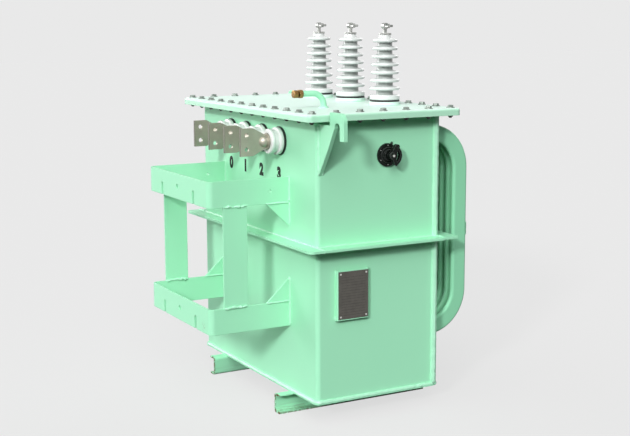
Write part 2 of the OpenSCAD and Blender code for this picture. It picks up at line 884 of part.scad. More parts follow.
// Folded sheet bracket that holds the nameplate off the end wall
module nameplate_bracket() {
    border = 4;
    fold = 4;
    metal = 2;
    color(mint)
        translate([end_x + plate_off, tank_y - plate_y, tank_z + plate_z - border]) rotate(90)
            linear_extrude(plate_h + 2 * border)
                u_sheet(plate_w + 2 * border, plate_off, fold, metal);
}

// Blank nameplate
module nameplate() {
    color(plate_grey)
        translate([end_x + plate_off, tank_y - plate_y - plate_w / 2, tank_z + plate_z])
            cube([plate_t, plate_w, plate_h]);
}

// One cooling tube: leaves the back wall, bends down, drops straight and bends back in
module cooling_tube() {
    top = rim_z - tube_top - tube_bend;
    bottom = tank_z + tube_low + tube_bend;
    translate([0, back_y, bottom]) {
        translate([0, tube_bend, 0]) linear_extrude(top - bottom) rotate(90) oval(tube_deep, tube_wide);
        translate([0, 0, top - bottom]) rotate([90, 0, 90]) rotate_extrude(angle = 90)
            translate([tube_bend, 0]) oval(tube_deep, tube_wide);
        mirror([0, 0, 1]) rotate([90, 0, 90]) rotate_extrude(angle = 90)
            translate([tube_bend, 0]) oval(tube_deep, tube_wide);
    }
}

// Bank of cooling tubes on the back wall
module radiator_tubes() {
    step = (tank_l - 2 * tube_edge) / (tube_count - 1);
    color(mint)
        for (index = [0:tube_count - 1])
            translate([tube_edge - end_x + index * step, 0, 0]) cooling_tube();
}

// Flat bar across the outside of the tubes
module radiator_tie_bar() {
    length = tank_l - 2 * tube_edge;
    color(mint)
        translate([-length / 2, back_y + tube_bend + tube_deep / 2, tank_z + tie_z - tie_h / 2])
            cube([length, tie_t, tie_h]);
}

// Three-limb core standing on the bottom plate
module core() {
    length = 2 * (limb_pitch + limb_r);
    color(lamination)
        translate([0, tank_y, floor_z]) {
            for (level = [0, yoke_h + window_h])
                translate([-length / 2, -limb_r, level]) cube([length, 2 * limb_r, yoke_h]);
            for (limb = [-1:1])
                translate([limb * limb_pitch, 0, 0]) cylinder(r = limb_r, h = yoke_h + window_h + cut);
        }
}

// One winding round each limb
module windings() {
    head_room = 20;
    color(copper)
        for (limb = [-1:1])
            translate([limb * limb_pitch, tank_y, floor_z + yoke_h]) difference() {
                cylinder(r = coil_r, h = window_h - head_room);
                translate([0, 0, -cut]) cylinder(r = limb_r + tail_gap, h = window_h + 2 * cut);
            }
}

tank_wall();
back_wall();
bottom_plate();
tank_flange();
cover_gasket();
cover();
belt_front();
belt_back();
belt_left();
belt_right();
base_channel_left();
base_channel_right();
lifting_hook_left();
lifting_hook_right();
upper_bracket();
lower_bracket();
bracket_post_left();
bracket_post_right();
bracket_gussets();
lv_gaskets();
lv_bushing(0);  // lv_bushing_0
lv_bushing(1);  // lv_bushing_1
lv_bushing(2);  // lv_bushing_2
lv_bushing(3);  // lv_bushing_3
lv_terminal(0);  // lv_terminal_0
lv_terminal(1);  // lv_terminal_1
lv_terminal(2);  // lv_terminal_2
lv_terminal(3);  // lv_terminal_3
hv_gaskets();
hv_bushing(1);  // hv_bushing_1
hv_bushing(2);  // hv_bushing_2
hv_bushing(3);  // hv_bushing_3
hv_terminal(1);  // hv_terminal_1
hv_terminal(2);  // hv_terminal_2
hv_terminal(3);  // hv_terminal_3
filler_pipe();
filler_cap();
tap_changer_base();
tap_changer_handle();
nameplate();
nameplate_bracket();
radiator_tubes();
radiator_tie_bar();
core();
windings();
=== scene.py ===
import math
import random

import bmesh
import bpy
from mathutils import Matrix, Vector


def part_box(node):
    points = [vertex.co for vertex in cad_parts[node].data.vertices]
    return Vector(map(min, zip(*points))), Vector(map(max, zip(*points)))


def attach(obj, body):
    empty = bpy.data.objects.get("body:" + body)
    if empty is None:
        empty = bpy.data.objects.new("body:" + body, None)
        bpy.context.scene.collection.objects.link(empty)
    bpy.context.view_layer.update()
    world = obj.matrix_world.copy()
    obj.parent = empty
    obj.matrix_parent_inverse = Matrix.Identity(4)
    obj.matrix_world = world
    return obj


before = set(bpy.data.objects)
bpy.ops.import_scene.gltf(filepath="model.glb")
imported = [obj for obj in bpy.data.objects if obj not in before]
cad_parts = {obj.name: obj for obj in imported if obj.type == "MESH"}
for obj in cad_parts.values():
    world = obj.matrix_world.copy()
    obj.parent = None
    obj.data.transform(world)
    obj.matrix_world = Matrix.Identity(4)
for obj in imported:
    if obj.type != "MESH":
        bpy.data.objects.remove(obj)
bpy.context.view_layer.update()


# Studio
# A pale floor that runs to the horizon and a little even light from all round. A lamp stands in front of the
# tank with soft lights beside it, to the left and to the right. Two more hang overhead and behind.
PALE = 0.815
FILL_LEVEL = 0.03
FLOOR_SPAN = 60.0
FLOOR_SEEN = (0.12, 0.12, 0.12, 1.0)
FLOOR_GLOW = 0.685
FLOOR_BOUNCE = (0.05, 0.05, 0.05, 1.0)
WHITE = (1.0, 1.0, 1.0, 1.0)
CAMERA_PLACE = (3.5707, -1.9081, 1.2410)
CAMERA_TURN = 61.022
CAMERA_TILT = 80.623
CAMERA_ROLL = -0.189
FOCAL_LENGTH = 70.13
SENSOR_WIDTH = 36.0


def add_node(tree, kind, **settings):
    made = tree.nodes.new("ShaderNode" + kind)
    for name, value in settings.items():
        setattr(made, name, value)
    return made


def seen_directly(tree):
    path = add_node(tree, "LightPath")
    camera_or_gloss = add_node(tree, "Math", operation="ADD")
    any_of_them = add_node(tree, "Math", operation="ADD", use_clamp=True)
    tree.links.new(path.outputs["Is Camera Ray"], camera_or_gloss.inputs[0])
    tree.links.new(path.outputs["Is Glossy Ray"], camera_or_gloss.inputs[1])
    tree.links.new(camera_or_gloss.outputs[0], any_of_them.inputs[0])
    tree.links.new(path.outputs["Is Transmission Ray"], any_of_them.inputs[1])
    return any_of_them.outputs[0]


def add_lamp(name, stands_at, power, angle):
    light = bpy.data.lights.new(name, "SUN")
    light.energy = power
    light.angle = math.radians(angle)
    lamp = bpy.data.objects.new(name, light)
    lamp.rotation_euler = Vector(stands_at).to_track_quat("Z", "Y").to_euler()
    scene.collection.objects.link(lamp)


scene = bpy.context.scene
scene.view_settings.view_transform = "Standard"

studio = bpy.data.worlds.new("studio_light")
studio.use_nodes = True
scene.world = studio
sky = studio.node_tree
sky.nodes.clear()
fill = add_node(sky, "Background")
fill.inputs["Color"].default_value = WHITE
fill.inputs["Strength"].default_value = FILL_LEVEL
backdrop = add_node(sky, "Background")
backdrop.inputs["Color"].default_value = WHITE
backdrop.inputs["Strength"].default_value = PALE
sky_mix = add_node(sky, "MixShader")
sky_end = add_node(sky, "OutputWorld")
sky.links.new(seen_directly(sky), sky_mix.inputs[0])
sky.links.new(fill.outputs[0], sky_mix.inputs[1])
sky.links.new(backdrop.outputs[0], sky_mix.inputs[2])
sky.links.new(sky_mix.outputs[0], sky_end.inputs["Surface"])

floor_paint = bpy.data.materials.new("floor_paint")
floor_paint.use_nodes = True
ground = floor_paint.node_tree
ground.nodes.clear()
pale_matt = add_node(ground, "BsdfDiffuse")
pale_matt.inputs["Color"].default_value = FLOOR_SEEN
glow = add_node(ground, "Emission")
glow.inputs["Strength"].default_value = FLOOR_GLOW
pale_floor = add_node(ground, "AddShader")
dark_matt = add_node(ground, "BsdfDiffuse")
dark_matt.inputs["Color"].default_value = FLOOR_BOUNCE
ground_mix = add_node(ground, "MixShader")
ground_end = add_node(ground, "OutputMaterial")
ground.links.new(pale_matt.outputs[0], pale_floor.inputs[0])
ground.links.new(glow.outputs[0], pale_floor.inputs[1])
ground.links.new(seen_directly(ground), ground_mix.inputs[0])
ground.links.new(dark_matt.outputs[0], ground_mix.inputs[1])
ground.links.new(pale_floor.outputs[0], ground_mix.inputs[2])
ground.links.new(ground_mix.outputs[0], ground_end.inputs["Surface"])

floor_mesh = bpy.data.meshes.new("floor")
floor_shape = bmesh.new()
bmesh.ops.create_grid(floor_shape, x_segments=1, y_segments=1, size=FLOOR_SPAN / 2)
floor_shape.to_mesh(floor_mesh)
floor_shape.free()
floor_mesh.materials.append(floor_paint)
floor = bpy.data.objects.new("floor", floor_mesh)
scene.collection.objects.link(floor)

add_lamp("front_lamp", stands_at=(0.56, -0.72, 0.41), power=1.9, angle=8)
add_lamp("front_soft_light", stands_at=(-0.20, -0.94, 0.28), power=0.95, angle=70)
add_lamp("left_soft_light", stands_at=(-0.85, -0.50, 0.14), power=1.7, angle=40)
add_lamp("right_soft_light", stands_at=(0.74, -0.33, 0.58), power=1.6, angle=36)
add_lamp("overhead_lamp", stands_at=(0.25, -0.30, 0.92), power=0.9, angle=50)
add_lamp("back_lamp", stands_at=(-0.45, 0.80, 0.40), power=0.6, angle=40)

lens = bpy.data.cameras.new("camera")
lens.lens = FOCAL_LENGTH
lens.sensor_width = SENSOR_WIDTH
camera = bpy.data.objects.new("camera", lens)
camera.matrix_world = (
    Matrix.Translation(CAMERA_PLACE)
    @ Matrix.Rotation(math.radians(CAMERA_TURN), 4, "Z")
    @ Matrix.Rotation(math.radians(CAMERA_TILT), 4, "X")
    @ Matrix.Rotation(math.radians(CAMERA_ROLL), 4, "Z")
)
scene.collection.objects.link(camera)
scene.camera = camera


# Tank
# The front and both ends are bent from one steel sheet. The back and bottom plates stand a little proud,
# and a run of hand-laid weld fills each step. All of it is sprayed with glossy mint-green enamel.
MINT_LIGHT = (0.372, 0.808, 0.536, 1.0)
MINT_DEEP = (0.356, 0.791, 0.519, 1.0)
# The weld beads wear the same enamel as the tank, painted paler here as a highlight for the light their
# ridges catch.
WELD_LIT_LIGHT = (0.440, 0.825, 0.595, 1.0)
WELD_LIT_DEEP = (0.370, 0.765, 0.525, 1.0)
NOISE_RANGE = (0.2, 0.8)
GLOSS_FINER = 5.0
GRAIN_DETAIL = 2.0
BUMP_STRENGTH = 0.5
EDGE_SAMPLES = 4
ENAMEL_EDGE = 0.0016
BEAD_STEP = 0.006
BEAD_SIDES = 8
BEAD_TAPER = 0.45
UNEVEN = 0.22
SEED_STEP = 7919
SEED_SCALE = 1e5
MERGE_REACH = 1e-6
CREASE = 40.0
CORNER_BEND = 0.014
CORNER_STEPS = 6
BACK_BEAD = 0.0100
BACK_UNEVEN = 0.05
BACK_SHIFT = 0.003
BOTTOM_BEAD = 0.0070
FLANGE_BEAD = 0.0040
SEAM_UNEVEN = 0.12


def noise(tree, scale, detail=3.0, rough=0.5, stretch=None):
    place = add_node(tree, "TexCoord").outputs["Object"]
    if stretch:
        pull = add_node(tree, "Mapping")
        pull.inputs["Scale"].default_value = stretch
        tree.links.new(place, pull.inputs["Vector"])
        place = pull.outputs["Vector"]
    made = add_node(tree, "TexNoise")
    made.inputs["Scale"].default_value = scale
    made.inputs["Detail"].default_value = detail
    made.inputs["Roughness"].default_value = rough
    tree.links.new(place, made.inputs["Vector"])
    return made.outputs["Fac"]


def rescale(tree, value, low, high, from_low, from_high):
    made = add_node(tree, "MapRange")
    made.inputs["From Min"].default_value = from_low
    made.inputs["From Max"].default_value = from_high
    made.inputs["To Min"].default_value = low
    made.inputs["To Max"].default_value = high
    tree.links.new(value, made.inputs["Value"])
    return made.outputs["Result"]


def blend_colours(tree, share, first, second):
    made = add_node(tree, "Mix", data_type="RGBA")
    tree.links.new(share, made.inputs["Factor"])
    for socket, colour in ((made.inputs[6], first), (made.inputs[7], second)):
        if isinstance(colour, tuple):
            socket.default_value = colour
        else:
            tree.links.new(colour, socket)
    return made.outputs[2]


def finish(name, light, deep, patches, rough, grain, depth, edge=0.0):
    made = bpy.data.materials.new(name)
    made.use_nodes = True
    tree = made.node_tree
    shader = tree.nodes["Principled BSDF"]
    patchy = rescale(tree, noise(tree, patches), 0.0, 1.0, *NOISE_RANGE)
    tree.links.new(blend_colours(tree, patchy, light, deep), shader.inputs["Base Color"])
    gloss = rescale(tree, noise(tree, patches * GLOSS_FINER), rough[0], rough[1], *NOISE_RANGE)
    tree.links.new(gloss, shader.inputs["Roughness"])
    bump = add_node(tree, "Bump")
    bump.inputs["Strength"].default_value = BUMP_STRENGTH
    bump.inputs["Distance"].default_value = depth
    tree.links.new(noise(tree, grain, GRAIN_DETAIL), bump.inputs["Height"])
    if edge:
        rounded = add_node(tree, "Bevel", samples=EDGE_SAMPLES)
        rounded.inputs["Radius"].default_value = edge
        tree.links.new(rounded.outputs["Normal"], bump.inputs["Normal"])
    tree.links.new(bump.outputs["Normal"], shader.inputs["Normal"])
    return made


def set_sockets(material, values):
    shader = material.node_tree.nodes["Principled BSDF"]
    for name, value in values.items():
        shader.inputs[name].default_value = value


def enamel(name, light=MINT_LIGHT, deep=MINT_DEEP):
    made = finish(
        name, light, deep, patches=2.4, rough=(0.30, 0.34), grain=260.0, depth=0.00015, edge=ENAMEL_EDGE
    )
    set_sockets(made, {"Specular IOR Level": 0.14})
    return made


def dress(material, *names):
    for name in names:
        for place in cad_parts[name].material_slots:
            place.material = material


def weld(shape, path, radius, closed=False, uneven=UNEVEN):
    chance = random.Random(len(path) * SEED_STEP + round(path[0].length * SEED_SCALE))
    runs = list(zip(path, path[1:] + path[:1])) if closed else list(zip(path, path[1:]))
    points = []
    for start, end in runs:
        steps = max(1, round((end - start).length / BEAD_STEP))
        points += [start.lerp(end, step / steps) for step in range(steps)]
    if not closed:
        points.append(path[-1])
    last = len(points) - 1
    ring = None
    for index, point in enumerate(points):
        before = points[index - 1] if index or closed else point
        after = points[(index + 1) % len(points)] if index < last or closed else point
        heading = (after - before).normalized()
        ripple = 1.0 if index % 2 else 1.0 - uneven / 2
        swell = ripple * chance.uniform(1.0 - uneven, 1.0 + uneven)
        if not closed and index in (0, last):
            swell *= BEAD_TAPER
        point = point + Vector([chance.uniform(-uneven, uneven) * radius for axis in range(3)])
        turn = old_heading.rotation_difference(heading) @ turn if ring else heading.to_track_quat("Z", "Y")
        place = Matrix.LocRotScale(point, turn, Vector((radius, radius, radius)) * swell)
        if ring:
            made = bmesh.ops.extrude_edge_only(shape, edges=ring)["geom"]
            verts = [item for item in made if isinstance(item, bmesh.types.BMVert)]
            fresh = set(verts)
            edges = [item for item in made if isinstance(item, bmesh.types.BMEdge)]
            ring = [edge for edge in edges if set(edge.verts) <= fresh]
            bmesh.ops.transform(shape, matrix=place @ old_place.inverted(), verts=verts)
        else:
            made = bmesh.ops.create_circle(shape, segments=BEAD_SIDES, radius=1.0, matrix=place)
            ring = list({edge for vert in made["verts"] for edge in vert.link_edges})
            first_ring = ring
        old_heading = heading
        old_place = place
    if closed:
        bmesh.ops.bridge_loops(shape, edges=first_ring + ring)
    else:
        bmesh.ops.edgenet_fill(shape, edges=first_ring)
        bmesh.ops.edgenet_fill(shape, edges=ring)


def add_piece(shape, name, material, body="transformer", crease=CREASE):
    bmesh.ops.remove_doubles(shape, verts=shape.verts, dist=MERGE_REACH)
    bmesh.ops.recalc_face_normals(shape, faces=shape.faces)
    mesh = bpy.data.meshes.new(name)
    shape.to_mesh(mesh)
    shape.free()
    mesh.shade_smooth()
    mesh.set_sharp_from_angle(angle=math.radians(crease))
    mesh.materials.append(material)
    piece = bpy.data.objects.new(name, mesh)
    scene.collection.objects.link(piece)
    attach(piece, body)


def arc(centre, radius, start, end, steps):
    turns = [math.radians(start + (end - start) * step / steps) for step in range(steps + 1)]
    return [centre + Vector((radius * math.cos(turn), radius * math.sin(turn), 0.0)) for turn in turns]


wall_low, wall_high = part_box("tank_wall")
back_low, back_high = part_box("back_wall")
plate_low, plate_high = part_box("bottom_plate")
flange_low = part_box("tank_flange")[0]


def round_the_tank(level):
    inner = wall_high.x - CORNER_BEND
    corner_y = wall_low.y + CORNER_BEND
    path = [Vector((wall_low.x, back_low.y, level))]
    path += arc(Vector((-inner, corner_y, level)), CORNER_BEND, 180, 270, CORNER_STEPS)
    path += arc(Vector((inner, corner_y, level)), CORNER_BEND, 270, 360, CORNER_STEPS)
    path.append(Vector((wall_high.x, back_low.y, level)))
    return path


tank_paint = enamel("tank_enamel")
weld_paint = finish(
    "weld_enamel", WELD_LIT_LIGHT, WELD_LIT_DEEP,
    patches=30.0, rough=(0.26, 0.42), grain=420.0, depth=0.0006,
)
dress(tank_paint, "tank_wall", "back_wall", "bottom_plate", "tank_flange")

tank_welds = bmesh.new()
for side in (wall_low.x, wall_high.x):
    seam_y = back_low.y - BACK_SHIFT
    upright = [Vector((side, seam_y, plate_high.z)), Vector((side, seam_y, flange_low.z))]
    weld(tank_welds, upright, BACK_BEAD, uneven=BACK_UNEVEN)
for level, bead in ((plate_high.z, BOTTOM_BEAD), (flange_low.z, FLANGE_BEAD)):
    weld(tank_welds, round_the_tank(level), bead, uneven=SEAM_UNEVEN)
    weld(tank_welds, [Vector((x, back_high.y, level)) for x in (back_low.x, back_high.x)], bead)
add_piece(tank_welds, "tank_welds", weld_paint)


# Base channels
# Two formed steel channels that carry the tank clear of the ground. They were dragged over concrete, so the
# paint is chipped off their cut ends and brown streaks of rust show low on the webs.
RUST = (0.125, 0.062, 0.026, 1.0)
CHANNEL_BEAD = 0.0040
CHIPPED_END = 0.005
CHIPPED_FOOT = 0.007
CHIP_SCALE = 110.0
CHIP_RANGE = (0.44, 0.54)
STREAK_H = 0.030
STREAK_SHARE = 0.55
STREAK_SCALE = 120.0
STREAK_PULL = (1.0, 0.10, 1.0)
STREAK_RANGE = (0.46, 0.66)


def stain(material, mask, colour, rough):
    tree = material.node_tree
    shader = tree.nodes["Principled BSDF"]
    paint = shader.inputs["Base Color"].links[0].from_socket
    gloss = shader.inputs["Roughness"].links[0].from_socket
    tree.links.new(blend_colours(tree, mask, paint, colour), shader.inputs["Base Color"])
    dull = add_node(tree, "Mix", data_type="FLOAT")
    dull.inputs[3].default_value = rough
    tree.links.new(mask, dull.inputs[0])
    tree.links.new(gloss, dull.inputs[2])
    tree.links.new(dull.outputs[0], shader.inputs["Roughness"])


def along_axis(tree, axis, near, far):
    place = add_node(tree, "TexCoord")
    parts = add_node(tree, "SeparateXYZ")
    tree.links.new(place.outputs["Object"], parts.inputs[0])
    return rescale(tree, parts.outputs[axis], 1.0, 0.0, near, far)


def both(tree, first, second, operation="MULTIPLY"):
    made = add_node(tree, "Math", operation=operation, use_clamp=True)
    tree.links.new(first, made.inputs[0])
    tree.links.new(second, made.inputs[1])
    return made.outputs[0]


channel_low, channel_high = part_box("base_channel_right")
channel_paint = enamel("channel_enamel")
marks = channel_paint.node_tree
front_end = along_axis(marks, "Y", channel_low.y, channel_low.y + CHIPPED_END)
back_end = along_axis(marks, "Y", channel_high.y, channel_high.y - CHIPPED_END)
foot_edge = along_axis(marks, "Z", channel_low.z, channel_low.z + CHIPPED_FOOT)
chips = rescale(marks, noise(marks, CHIP_SCALE, detail=5.0, rough=0.7), 0.0, 1.0, *CHIP_RANGE)
worn = both(marks, both(marks, front_end, back_end, "ADD"), foot_edge, "ADD")
low_web = along_axis(marks, "Z", channel_low.z, channel_low.z + STREAK_H)
drawn_out = noise(marks, STREAK_SCALE, detail=4.0, rough=0.6, stretch=STREAK_PULL)
streaks = rescale(marks, drawn_out, 0.0, STREAK_SHARE, *STREAK_RANGE)
stain(channel_paint, both(marks, low_web, streaks), RUST, rough=0.6)
stain(channel_paint, both(marks, worn, chips), RUST, rough=0.8)
dress(channel_paint, "base_channel_left", "base_channel_right")
channel_welds = bmesh.new()
for side in (-1, 1):
    seam = [Vector((side * channel_high.x, along, plate_low.z)) for along in (plate_low.y, plate_high.y)]
    weld(channel_welds, seam, CHANNEL_BEAD)
add_piece(channel_welds, "channel_welds", weld_paint)


# Belt
# Flat bars welded edge-on round the middle of the tank, which stiffen its walls. They butt at the corners,
# where a short weld closes each joint, and beads run along them above and below.
BELT_BEAD = 0.0042
JOINT_BEAD = 0.0034

belt_low, belt_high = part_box("belt_front")
side_low, side_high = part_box("belt_right")
rear_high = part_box("belt_back")[1]
belt_joints = ((side_low.y, side_high.x), (side_high.y, rear_high.x))
belt_paint = enamel("belt_enamel")
dress(belt_paint, "belt_front", "belt_back", "belt_left", "belt_right")
belt_welds = bmesh.new()
for level in (belt_low.z, belt_high.z):
    weld(belt_welds, round_the_tank(level), BELT_BEAD)
    weld(belt_welds, [Vector((x, back_high.y, level)) for x in (back_low.x, back_high.x)], BELT_BEAD)
    for side in (-1, 1):
        for along, reach in belt_joints:
            joint = [Vector((side * across, along, level)) for across in (side_low.x, reach)]
            weld(belt_welds, joint, JOINT_BEAD)
for side in (-1, 1):
    for along, reach in belt_joints:
        joint = [Vector((side * reach, along, level)) for level in (belt_low.z, belt_high.z)]
        weld(belt_welds, joint, JOINT_BEAD)
add_piece(belt_welds, "belt_welds", weld_paint)


# Lifting hooks
# Hooks burnt from thick plate on two opposite corners of the tank, for a sling. Each is welded to the end
# wall down both faces, short of the flange.
HOOK_BEAD = 0.0050
HOOK_CLEAR = 0.012

hook_paint = enamel("hook_enamel")
dress(hook_paint, "lifting_hook_left", "lifting_hook_right")
hook_welds = bmesh.new()
for name, wall in (("lifting_hook_right", wall_high.x), ("lifting_hook_left", wall_low.x)):
    hook_low, hook_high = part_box(name)
    for face in (hook_low.y, hook_high.y):
        seam = [Vector((wall, face, level)) for level in (hook_low.z, flange_low.z - HOOK_CLEAR)]
        weld(hook_welds, seam, HOOK_BEAD)
add_piece(hook_welds, "hook_welds", weld_paint)


# Pole bracket
# Two straps bent from flat bar and joined by upright bars, with triangular gussets at the wall. Short
# hand-laid welds join them. The lower strap is scuffed near one corner.
ARM_BEAD = 0.0046
GUSSET_BEAD = 0.0034
POST_BEAD = 0.0044
POST_UNEVEN = 0.38
STRAP_T = 0.00635
GUSSET_H = 0.076
SCUFF = (0.20, 0.15, 0.075, 1.0)
SCUFF_PLACE = (0.188, -0.428, 0.296)
SCUFF_REACH = 0.022
SCRATCH_SCALE = 240.0
SCRATCH_RANGE = (0.56, 0.62)

bracket_paint = enamel("bracket_enamel")
scuffed = bracket_paint.node_tree
spot = add_node(scuffed, "VectorMath", operation="DISTANCE")
spot.inputs[1].default_value = SCUFF_PLACE
spot_place = add_node(scuffed, "TexCoord")
scuffed.links.new(spot_place.outputs["Object"], spot.inputs[0])
near_spot = rescale(scuffed, spot.outputs["Value"], 1.0, 0.0, 0.0, SCUFF_REACH)
fine = noise(scuffed, SCRATCH_SCALE, detail=4.0, rough=0.7)
scratches = rescale(scuffed, fine, 0.0, 1.0, *SCRATCH_RANGE)
stain(bracket_paint, both(scuffed, near_spot, scratches), SCUFF, rough=0.7)
dress(bracket_paint, "upper_bracket", "lower_bracket", "bracket_gussets")
dress(bracket_paint, "bracket_post_left", "bracket_post_right")

post_low, post_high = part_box("bracket_post_right")
gusset_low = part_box("bracket_gussets")[0]
low_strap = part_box("lower_bracket")
high_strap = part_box("upper_bracket")
bracket_welds = bmesh.new()
for side in (-1, 1):
    for face in (side * low_strap[1].x, side * (low_strap[1].x - STRAP_T)):
        for strap_low, strap_high in (low_strap, high_strap):
            seam = [Vector((face, wall_low.y, level)) for level in (strap_low.z, strap_high.z)]
            weld(bracket_welds, seam, ARM_BEAD)
        for level, tip in ((low_strap[1].z, GUSSET_H), (high_strap[0].z, -GUSSET_H)):
            wall_run = [Vector((face, wall_low.y, height)) for height in (level, level + tip)]
            weld(bracket_welds, wall_run, ARM_BEAD)
            arm_run = [Vector((face, along, level)) for along in (gusset_low.y, wall_low.y)]
            weld(bracket_welds, arm_run, GUSSET_BEAD)
            post_run = [Vector((face, along, level)) for along in (post_low.y, post_high.y)]
            weld(bracket_welds, post_run, POST_BEAD, uneven=POST_UNEVEN)
add_piece(bracket_welds, "bracket_welds", weld_paint)


# Radiator
# A bank of oval steel tubes that carry hot oil out of the top of the tank and back in at the bottom. Each
# end is welded round to the back wall, and a flat tie bar is tacked across them.
# The tubes wear the tank's mint enamel, painted a darker green here as shade for the light they lose behind
# the tank.
TUBE_SHADED_LIGHT = (0.285, 0.690, 0.435, 1.0)
TUBE_SHADED_DEEP = (0.265, 0.665, 0.415, 1.0)
TUBE_COUNT = 22
TUBE_DEEP = 0.054
TUBE_WIDE = 0.018
TUBE_BEAD = 0.0032
OVAL_STEPS = 8
TACK_BEAD = 0.0026
TACK_REACH = 0.006

tube_low, tube_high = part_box("radiator_tubes")
tie_low, tie_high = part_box("radiator_tie_bar")
tube_paint = enamel("tube_enamel", TUBE_SHADED_LIGHT, TUBE_SHADED_DEEP)
dress(tube_paint, "radiator_tubes", "radiator_tie_bar")
first_x = tube_low.x + TUBE_WIDE / 2
tube_pitch = (tube_high.x - tube_low.x - TUBE_WIDE) / (TUBE_COUNT - 1)
oval_half = Vector((0.0, (TUBE_DEEP - TUBE_WIDE) / 2, 0.0))
tube_welds = bmesh.new()
for index in range(TUBE_COUNT):
    across = first_x + index * tube_pitch
    for level in (tube_low.z + TUBE_DEEP / 2, tube_high.z - TUBE_DEEP / 2):
        centre = Vector((across, level, 0.0))
        outline = arc(centre + oval_half, TUBE_WIDE / 2, 0, 180, OVAL_STEPS)
        outline += arc(centre - oval_half, TUBE_WIDE / 2, 180, 360, OVAL_STEPS)
        mouth = [Vector((point.x, back_high.y, point.y)) for point in outline]
        weld(tube_welds, mouth, TUBE_BEAD, closed=True)
    for level in (tie_low.z, tie_high.z):
        tack = [Vector((across + step, tie_low.y, level)) for step in (-TACK_REACH, TACK_REACH)]
        weld(tube_welds, tack, TACK_BEAD)
add_piece(tube_welds, "tube_welds", weld_paint)


# Core and windings
# The iron core, stacked from thin sheets, and the copper windings round its three limbs. They stand in oil
# inside the closed tank.
IRON_LIGHT = (0.17, 0.18, 0.19, 1.0)
IRON_DEEP = (0.12, 0.125, 0.13, 1.0)
COPPER_LIGHT = (0.42, 0.19, 0.08, 1.0)
COPPER_DEEP = (0.30, 0.13, 0.055, 1.0)

iron = finish(
    "core_iron", IRON_LIGHT, IRON_DEEP,
    patches=30.0, rough=(0.4, 0.6), grain=400.0, depth=0.0003,
)
copper = finish(
    "winding_copper", COPPER_LIGHT, COPPER_DEEP,
    patches=30.0, rough=(0.35, 0.5), grain=300.0, depth=0.0003,
)
dress(iron, "core")
dress(copper, "windings")


# Cover
# A pressed sheet with its rim folded down, drawn onto a rubber gasket by a row of bolts. Each bolt has a
# zinc-plated head and washer on top, and a nut and the end of its thread under the flange.
BOLT_INSET = 0.025
BOLTS_LONG = 12
BOLTS_SHORT = 7
BOLT_SEED = 3
BOLT_CREASE = 30.0
HEX_SIDES = 6
HEX_RIM = 0.0012
HEAD_R = 0.0095
HEAD_H = 0.0064
WASHER_R = 0.0128
WASHER_H = 0.0024
WASHER_SIDES = 24
WASHER_RIM = 0.0006
NUT_R = 0.0080
NUT_H = 0.0078
THREAD_R = 0.0048
THREAD_OUT = 0.0034
THREAD_SIDES = 16
THREAD_RIM = 0.0010
FLAT_REACH = 1e-5
RUBBER_LIGHT = (0.016, 0.019, 0.017, 1.0)
RUBBER_DEEP = (0.009, 0.011, 0.010, 1.0)
ZINC_LIGHT = (0.33, 0.38, 0.345, 1.0)
ZINC_DEEP = (0.095, 0.115, 0.10, 1.0)
# The nuts and thread ends under the flange take a darker copy of the zinc, painted shade for the shadow
# under the cover's rim.
SHADED_ZINC_LIGHT = (0.075, 0.085, 0.075, 1.0)
SHADED_ZINC_DEEP = (0.035, 0.040, 0.036, 1.0)
GRIME = (0.32, 0.40, 0.33, 1.0)
GRIME_SHARE = 0.16
GRIME_BACK = 0.05
GRIME_FRONT = 0.25
SMEAR_SCALE = 14.0
SMEAR_PULL = (0.5, 1.0, 1.0)
SMEAR_RANGE = (0.54, 0.66)
COVER_TOP_PAINTED_LIGHT = (0.700, 0.900, 0.805, 1.0)
COVER_RIM = (0.440, 0.780, 0.575, 1.0)
FOLD_H = 0.005


def prism(shape, radius, height, place, sides, rim):
    centre = place @ Matrix.Translation((0.0, 0.0, height / 2))
    made = bmesh.ops.create_cone(
        shape, cap_ends=True, segments=sides, radius1=radius, radius2=radius, depth=height, matrix=centre
    )
    top = place @ Vector((0.0, 0.0, height))
    up = place.to_3x3() @ Vector((0.0, 0.0, 1.0))
    edges = {edge for vert in made["verts"] for edge in vert.link_edges}
    level = {vert for vert in made["verts"] if abs((vert.co - top).dot(up)) < FLAT_REACH}
    upper = [edge for edge in edges if set(edge.verts) <= level]
    bmesh.ops.bevel(
        shape, geom=upper, offset=rim, offset_type="OFFSET", affect="EDGES", segments=2, profile=0.5,
        material=-1,
    )


cover_low, cover_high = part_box("cover")
rubber = finish(
    "rubber", RUBBER_LIGHT, RUBBER_DEEP,
    patches=40.0, rough=(0.5, 0.7), grain=900.0, depth=0.0003,
)
zinc = finish(
    "zinc", ZINC_LIGHT, ZINC_DEEP,
    patches=140.0, rough=(0.35, 0.55), grain=700.0, depth=0.0002,
)
set_sockets(zinc, {"Metallic": 0.7})
shaded_zinc = finish(
    "shaded_zinc", SHADED_ZINC_LIGHT, SHADED_ZINC_DEEP,
    patches=70.0, rough=(0.4, 0.6), grain=700.0, depth=0.0002,
)
set_sockets(shaded_zinc, {"Metallic": 0.5})
cover_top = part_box("filler_pipe")[0].z
cover_paint = enamel("cover_enamel", COVER_RIM, COVER_RIM)
set_sockets(cover_paint, {"Specular IOR Level": 0.3})
top_light_and_dirt = cover_paint.node_tree
# Painted light: the top face is made paler than the rim for the lamps that shine down on it.
stain(cover_paint, along_axis(top_light_and_dirt, "Z", cover_top, cover_top - FOLD_H), COVER_TOP_PAINTED_LIGHT, rough=0.4)
near_row = along_axis(top_light_and_dirt, "Y", cover_high.y - GRIME_BACK, cover_low.y + GRIME_FRONT)
cloudy = noise(top_light_and_dirt, SMEAR_SCALE, detail=5.0, rough=0.65, stretch=SMEAR_PULL)
smears = rescale(top_light_and_dirt, cloudy, 0.0, GRIME_SHARE, *SMEAR_RANGE)
stain(cover_paint, both(top_light_and_dirt, near_row, smears), GRIME, rough=0.45)
dress(cover_paint, "cover")
dress(rubber, "cover_gasket")

